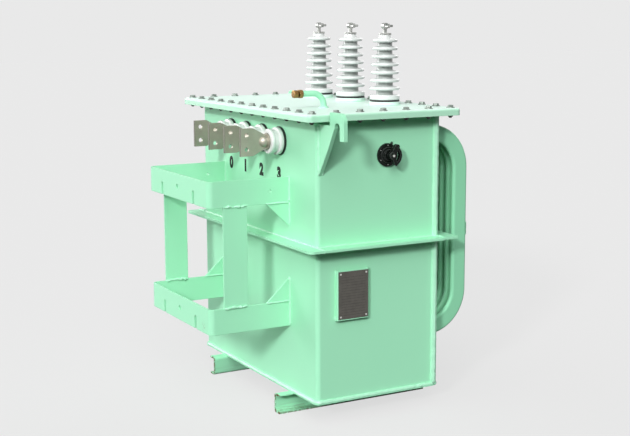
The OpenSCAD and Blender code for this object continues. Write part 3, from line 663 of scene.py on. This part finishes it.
bolt_x = cover_high.x - BOLT_INSET
bolt_y = (cover_low.y + BOLT_INSET, cover_high.y - BOLT_INSET)
bolt_spots = []
for index in range(BOLTS_LONG):
    across = -bolt_x + 2 * bolt_x * index / (BOLTS_LONG - 1)
    bolt_spots += [(across, bolt_y[0]), (across, bolt_y[1])]
for index in range(1, BOLTS_SHORT - 1):
    along = bolt_y[0] + (bolt_y[1] - bolt_y[0]) * index / (BOLTS_SHORT - 1)
    bolt_spots += [(-bolt_x, along), (bolt_x, along)]
heads = bmesh.new()
nuts = bmesh.new()
turning = random.Random(BOLT_SEED)
for across, along in bolt_spots:
    turn = Matrix.Rotation(turning.uniform(0.0, math.pi), 4, "Z")
    on_top = Matrix.Translation((across, along, cover_top)) @ turn
    prism(heads, WASHER_R, WASHER_H, on_top, WASHER_SIDES, WASHER_RIM)
    prism(heads, HEAD_R, HEAD_H, on_top @ Matrix.Translation((0, 0, WASHER_H)), HEX_SIDES, HEX_RIM)
    below = Matrix.Translation((across, along, flange_low.z)) @ Matrix.Rotation(math.pi, 4, "X") @ turn
    prism(nuts, NUT_R, NUT_H, below, HEX_SIDES, HEX_RIM)
    prism(nuts, THREAD_R, NUT_H + THREAD_OUT, below, THREAD_SIDES, THREAD_RIM)
add_piece(heads, "cover_bolt_heads", zinc, crease=BOLT_CREASE)
add_piece(nuts, "cover_nuts", shaded_zinc, crease=BOLT_CREASE)


# Low-voltage bushings
# Four glazed porcelain bushings on rubber gaskets, each with a tinned stud and a flat two-hole palm. A plain
# number is sprayed by hand on the wall under each one through a stencil.
NUMBER_H = 0.042
NUMBER_BOLD = 0.070
NUMBER_DROP = 0.1035
NUMBER_SHIFTS = (-0.0075, -0.0155, -0.0145, -0.0085)
NUMBER_T = 0.0003
HALF_UNIT = 0.5
# The low-voltage porcelain is the same as the high-voltage kind, painted whiter here as light where the
# cover shades it.
LV_LIT_WHITE = (0.800, 0.825, 0.810, 1.0)
LV_LIT_WHITE_DEEP = (0.760, 0.785, 0.770, 1.0)
TIN_LIGHT = (0.46, 0.44, 0.37, 1.0)
TIN_DEEP = (0.35, 0.335, 0.275, 1.0)
TIN_EDGE = (0.17, 0.165, 0.14, 1.0)
SHEARED = 0.0006
STENCIL_LIGHT = (0.010, 0.013, 0.011, 1.0)
STENCIL_DEEP = (0.018, 0.021, 0.019, 1.0)


def glaze(name, light, deep):
    made = finish(name, light, deep, patches=18.0, rough=(0.10, 0.14), grain=120.0, depth=0.00005)
    set_sockets(made, {"Coat Weight": 0.6, "Coat Roughness": 0.04})
    return made


lit_white_porcelain = glaze("lit_white_porcelain", LV_LIT_WHITE, LV_LIT_WHITE_DEEP)
tinned = finish(
    "tinned", TIN_LIGHT, TIN_DEEP,
    patches=26.0, rough=(0.38, 0.55), grain=500.0, depth=0.00025, edge=0.0008,
)
set_sockets(tinned, {"Metallic": 0.75})
stencil = finish(
    "stencil_paint", STENCIL_LIGHT, STENCIL_DEEP,
    patches=60.0, rough=(0.4, 0.6), grain=500.0, depth=0.0002,
)
set_sockets(stencil, {"Specular IOR Level": 0.08})
cut_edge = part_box("lv_terminal_0")[0].y
sheared = along_axis(tinned.node_tree, "Y", cut_edge + SHEARED, cut_edge + 2 * SHEARED)
stain(tinned, sheared, TIN_EDGE, rough=0.6)
dress(rubber, "lv_gaskets")
for index, shift in enumerate(NUMBER_SHIFTS):
    dress(lit_white_porcelain, "lv_bushing_%d" % index)
    dress(tinned, "lv_terminal_%d" % index)
    low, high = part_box("lv_bushing_%d" % index)
    letter = bpy.data.curves.new("number", "FONT")
    letter.body = str(index)
    letter.offset = NUMBER_BOLD
    letter.extrude = HALF_UNIT
    shaped = bpy.data.objects.new("number", letter)
    mesh = bpy.data.meshes.new_from_object(shaped)
    bpy.data.objects.remove(shaped)
    number = bmesh.new()
    number.from_mesh(mesh)
    bpy.data.meshes.remove(mesh)
    corners = [vert.co for vert in number.verts]
    least = Vector([min(corner[axis] for corner in corners) for axis in range(3)])
    most = Vector([max(corner[axis] for corner in corners) for axis in range(3)])
    size = NUMBER_H / (most.y - least.y)
    spot = (low + high) / 2 + Vector((shift, 0.0, -NUMBER_DROP))
    spot.y = wall_low.y - NUMBER_T / 2
    place = Matrix.Translation(spot) @ Matrix.Rotation(math.radians(90), 4, "X")
    place = place @ Matrix.Diagonal((size, size, NUMBER_T, 1.0))
    place = place @ Matrix.Translation(-(least + most) / 2)
    bmesh.ops.transform(number, matrix=place, verts=number.verts)
    add_piece(number, "lv_number_%d" % index, stencil)


# High-voltage bushings
# Three tall porcelain bushings with sheds, seated on rings that are welded to the cover. The core between
# the sheds is painted grey as the shade the sheds cast on it. A bright tinned stem with an eye clamp stands
# on each.
SEAT_BEAD = 0.0022
SEAT_PROUD = 0.002
SEAT_STEPS = 48
HV_COUNT = 3
GLAZE_LIGHT = (0.680, 0.710, 0.695, 1.0)
GLAZE_DEEP = (0.640, 0.670, 0.655, 1.0)
CORE_PAINTED_SHADE = (0.400, 0.435, 0.415, 1.0)
CORE_R = 0.0275
UNSHADED_R = 0.0340
NECK_H = 0.018
SHADE_FADE = 0.006
# The stem's colour swings in patches from near white to near black: painted reflections on the bright metal.
STEM_LIGHT = (0.72, 0.73, 0.70, 1.0)
STEM_PAINTED_DARK = (0.12, 0.13, 0.12, 1.0)

bright_tin = finish(
    "bright_tin", STEM_LIGHT, STEM_PAINTED_DARK,
    patches=120.0, rough=(0.16, 0.32), grain=600.0, depth=0.0002, edge=0.0008,
)
set_sockets(bright_tin, {"Metallic": 0.95})
dress(rubber, "hv_gaskets")
seat_low, seat_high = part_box("hv_gaskets")
seat_r = (seat_high.y - seat_low.y) / 2 + SEAT_PROUD
seat_welds = bmesh.new()
for index in range(1, HV_COUNT + 1):
    low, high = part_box("hv_bushing_%d" % index)
    centre = (low + high) / 2
    centre.z = cover_top
    shed_porcelain = glaze("shed_porcelain_%d" % index, GLAZE_LIGHT, GLAZE_DEEP)
    core_shade_tree = shed_porcelain.node_tree
    shed_place = add_node(core_shade_tree, "TexCoord")
    level_place = add_node(core_shade_tree, "VectorMath", operation="MULTIPLY")
    level_place.inputs[1].default_value = (1.0, 1.0, 0.0)
    core_shade_tree.links.new(shed_place.outputs["Object"], level_place.inputs[0])
    from_axis = add_node(core_shade_tree, "VectorMath", operation="DISTANCE")
    from_axis.inputs[1].default_value = (centre.x, centre.y, 0.0)
    core_shade_tree.links.new(level_place.outputs["Vector"], from_axis.inputs[0])
    # Painted shade: the core below the top neck is greyed where the sheds shade it.
    core_share = rescale(core_shade_tree, from_axis.outputs["Value"], 1.0, 0.0, CORE_R, UNSHADED_R)
    under_neck = along_axis(core_shade_tree, "Z", high.z - NECK_H - SHADE_FADE, high.z - NECK_H + SHADE_FADE)
    stain(shed_porcelain, both(core_shade_tree, core_share, under_neck), CORE_PAINTED_SHADE, rough=0.2)
    dress(shed_porcelain, "hv_bushing_%d" % index)
    dress(bright_tin, "hv_terminal_%d" % index)
    weld(seat_welds, arc(centre, seat_r, 0, 360, SEAT_STEPS)[:-1], SEAT_BEAD, closed=True)
add_piece(seat_welds, "seat_welds", weld_paint)


# Filler pipe
# A bent steel pipe welded to the cover, through which the tank is filled with oil. A turned brass cap closes
# it. The cap is unscrewed with a spanner, and its groove is painted dark as the shade in it.
PIPE_BEAD = 0.0060
PIPE_UNEVEN = 0.06
PIPE_STEPS = 24
BRASS_LIGHT = (0.42, 0.255, 0.095, 1.0)
BRASS_DEEP = (0.20, 0.115, 0.040, 1.0)
GROOVE_SHADE = (0.035, 0.022, 0.010, 1.0)
GROOVE_BACK = 0.015
GROOVE_HALF = 0.0032

pipe_low, pipe_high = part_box("filler_pipe")
pipe_paint = enamel("pipe_enamel")
dress(pipe_paint, "filler_pipe")
brass = finish(
    "brass", BRASS_LIGHT, BRASS_DEEP,
    patches=140.0, rough=(0.12, 0.22), grain=600.0, depth=0.0002, edge=0.0008,
)
set_sockets(brass, {"Metallic": 1.0})
groove_shade_tree = brass.node_tree
# Painted shade: a dark band round the cap's groove.
groove_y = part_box("filler_cap")[1].y - GROOVE_BACK
before_groove = along_axis(groove_shade_tree, "Y", groove_y, groove_y + GROOVE_HALF)
after_groove = along_axis(groove_shade_tree, "Y", groove_y, groove_y - GROOVE_HALF)
stain(brass, both(groove_shade_tree, before_groove, after_groove), GROOVE_SHADE, rough=0.5)
dress(brass, "filler_cap")
pipe_r = (pipe_high.x - pipe_low.x) / 2
pipe_foot = Vector(((pipe_low.x + pipe_high.x) / 2, pipe_high.y - pipe_r, cover_top))
pipe_welds = bmesh.new()
foot_ring = arc(pipe_foot, pipe_r, 0, 360, PIPE_STEPS)[:-1]
weld(pipe_welds, foot_ring, PIPE_BEAD, closed=True, uneven=PIPE_UNEVEN)
add_piece(pipe_welds, "pipe_welds", weld_paint)


# Tap changer
# The handle of the off-load switch: a moulded black base screwed to the end wall, and a moulded handle
# that turns on its shaft, held by a bright screw. Grey is painted along the edges of both as a highlight.
SCREW_COUNT = 6
SCREW_R = 0.0017
SCREW_H = 0.0018
SCREW_SIDES = 14
SCREW_RIM = 0.0008
SCREW_CIRCLE = 0.0295
DISC_FACE = 0.008
KNOB_SCREW_R = 0.0042
KNOB_SCREW_H = 0.0030
KNOB_SCREW_SUNK = 0.0002
KNOB_SCREW_SIDES = 18
KNOB_SCREW_RIM = 0.0014
BLACK_LIGHT = (0.007, 0.010, 0.008, 1.0)
BLACK_DEEP = (0.004, 0.006, 0.005, 1.0)
BRIGHT_LIGHT = (0.72, 0.73, 0.70, 1.0)
BRIGHT_DEEP = (0.56, 0.57, 0.54, 1.0)
EDGE_HIGHLIGHT_GREY = (0.075, 0.085, 0.080, 1.0)
EDGE_HIGHLIGHT_REACH = 0.0022
EDGE_HIGHLIGHT_RANGE = (0.985, 0.88)
EDGE_HIGHLIGHT_SAMPLES = 8


def worn_edges(tree, reach):
    rounded = add_node(tree, "Bevel", samples=EDGE_HIGHLIGHT_SAMPLES)
    rounded.inputs["Radius"].default_value = reach
    surface = add_node(tree, "NewGeometry")
    lean = add_node(tree, "VectorMath", operation="DOT_PRODUCT")
    tree.links.new(rounded.outputs["Normal"], lean.inputs[0])
    tree.links.new(surface.outputs["Normal"], lean.inputs[1])
    return rescale(tree, lean.outputs["Value"], 0.0, 1.0, *EDGE_HIGHLIGHT_RANGE)


black = finish(
    "black_moulding", BLACK_LIGHT, BLACK_DEEP,
    patches=60.0, rough=(0.20, 0.32), grain=900.0, depth=0.0002, edge=0.0012,
)
bright = finish(
    "bright_steel", BRIGHT_LIGHT, BRIGHT_DEEP,
    patches=200.0, rough=(0.2, 0.35), grain=900.0, depth=0.0001,
)
set_sockets(bright, {"Metallic": 1.0})
set_sockets(black, {"Specular IOR Level": 0.14})
# Painted highlight: grey along the edges of the black mouldings.
stain(black, worn_edges(black.node_tree, EDGE_HIGHLIGHT_REACH), EDGE_HIGHLIGHT_GREY, rough=0.35)
dress(black, "tap_changer_base", "tap_changer_handle")
base_low, base_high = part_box("tap_changer_base")
knob_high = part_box("tap_changer_handle")[1]
base_r = (base_high.y - base_low.y) / 2
shaft = Vector((wall_high.x, base_low.y + base_r, base_low.z + base_r))
outward = Matrix.Rotation(math.radians(90), 4, "Y")
screws = bmesh.new()
for index in range(SCREW_COUNT):
    turn = 2 * math.pi * (index + 0.5) / SCREW_COUNT
    spot = shaft + Vector((DISC_FACE, SCREW_CIRCLE * math.cos(turn), SCREW_CIRCLE * math.sin(turn)))
    prism(screws, SCREW_R, SCREW_H, Matrix.Translation(spot) @ outward, SCREW_SIDES, SCREW_RIM)
add_piece(screws, "tap_base_screws", bright)
knob_screw = bmesh.new()
knob_spot = Vector((knob_high.x - KNOB_SCREW_SUNK, shaft.y, shaft.z))
knob_place = Matrix.Translation(knob_spot) @ outward
prism(knob_screw, KNOB_SCREW_R, KNOB_SCREW_H, knob_place, KNOB_SCREW_SIDES, KNOB_SCREW_RIM)
add_piece(knob_screw, "tap_handle_screw", bright, "tap_handle")


# Nameplate
# A blank steel plate with ruled lines, riveted at its corners to a folded bracket that is tacked to the
# end wall.
RIVET_R = 0.0032
RIVET_H = 0.0016
RIVET_INSET = 0.0075
RIVET_SIDES = 16
RIVET_RIM = 0.0010
RULES = 15
RULE_T = 0.0008
RULE_H = 0.0003
RULE_MARGIN = 0.010
RULE_FIRST = 0.012
RULE_LAST = 0.018
HOLDER_BEAD = 0.0030
HOLDER_TACK = 0.014
PLATE_LIGHT = (0.115, 0.108, 0.095, 1.0)
PLATE_DEEP = (0.085, 0.080, 0.070, 1.0)
INK_LIGHT = (0.035, 0.034, 0.030, 1.0)
INK_DEEP = (0.025, 0.024, 0.022, 1.0)

label_low, label_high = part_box("nameplate")
holder_low, holder_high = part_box("nameplate_bracket")
steel = finish(
    "plate_steel", PLATE_LIGHT, PLATE_DEEP,
    patches=60.0, rough=(0.32, 0.5), grain=600.0, depth=0.0001,
)
set_sockets(steel, {"Metallic": 0.5})
ink = finish(
    "plate_ink", INK_LIGHT, INK_DEEP,
    patches=60.0, rough=(0.5, 0.6), grain=600.0, depth=0.0001,
)
dress(steel, "nameplate")
dress(tank_paint, "nameplate_bracket")
rules = bmesh.new()
rule_size = Matrix.Diagonal((RULE_H, label_high.y - label_low.y - 2 * RULE_MARGIN, RULE_T, 1.0))
first_rule = label_low.z + RULE_FIRST
last_rule = label_high.z - RULE_LAST
for index in range(RULES):
    spot = (label_low + label_high) / 2
    spot.x = label_high.x
    spot.z = first_rule + (last_rule - first_rule) * index / (RULES - 1)
    bmesh.ops.create_cube(rules, size=1.0, matrix=Matrix.Translation(spot) @ rule_size)
add_piece(rules, "nameplate_rules", ink)
rivets = bmesh.new()
for along in (label_low.y + RIVET_INSET, label_high.y - RIVET_INSET):
    for level in (label_low.z + RIVET_INSET, label_high.z - RIVET_INSET):
        spot = Vector((label_high.x, along, level))
        prism(rivets, RIVET_R, RIVET_H, Matrix.Translation(spot) @ outward, RIVET_SIDES, RIVET_RIM)
add_piece(rivets, "nameplate_rivets", bright)
tacks = bmesh.new()
for along in (holder_low.y, holder_high.y):
    for level in (holder_low.z, holder_high.z - HOLDER_TACK):
        tack = [Vector((wall_high.x, along, level + step)) for step in (0.0, HOLDER_TACK)]
        weld(tacks, tack, HOLDER_BEAD)
add_piece(tacks, "nameplate_tacks", weld_paint)
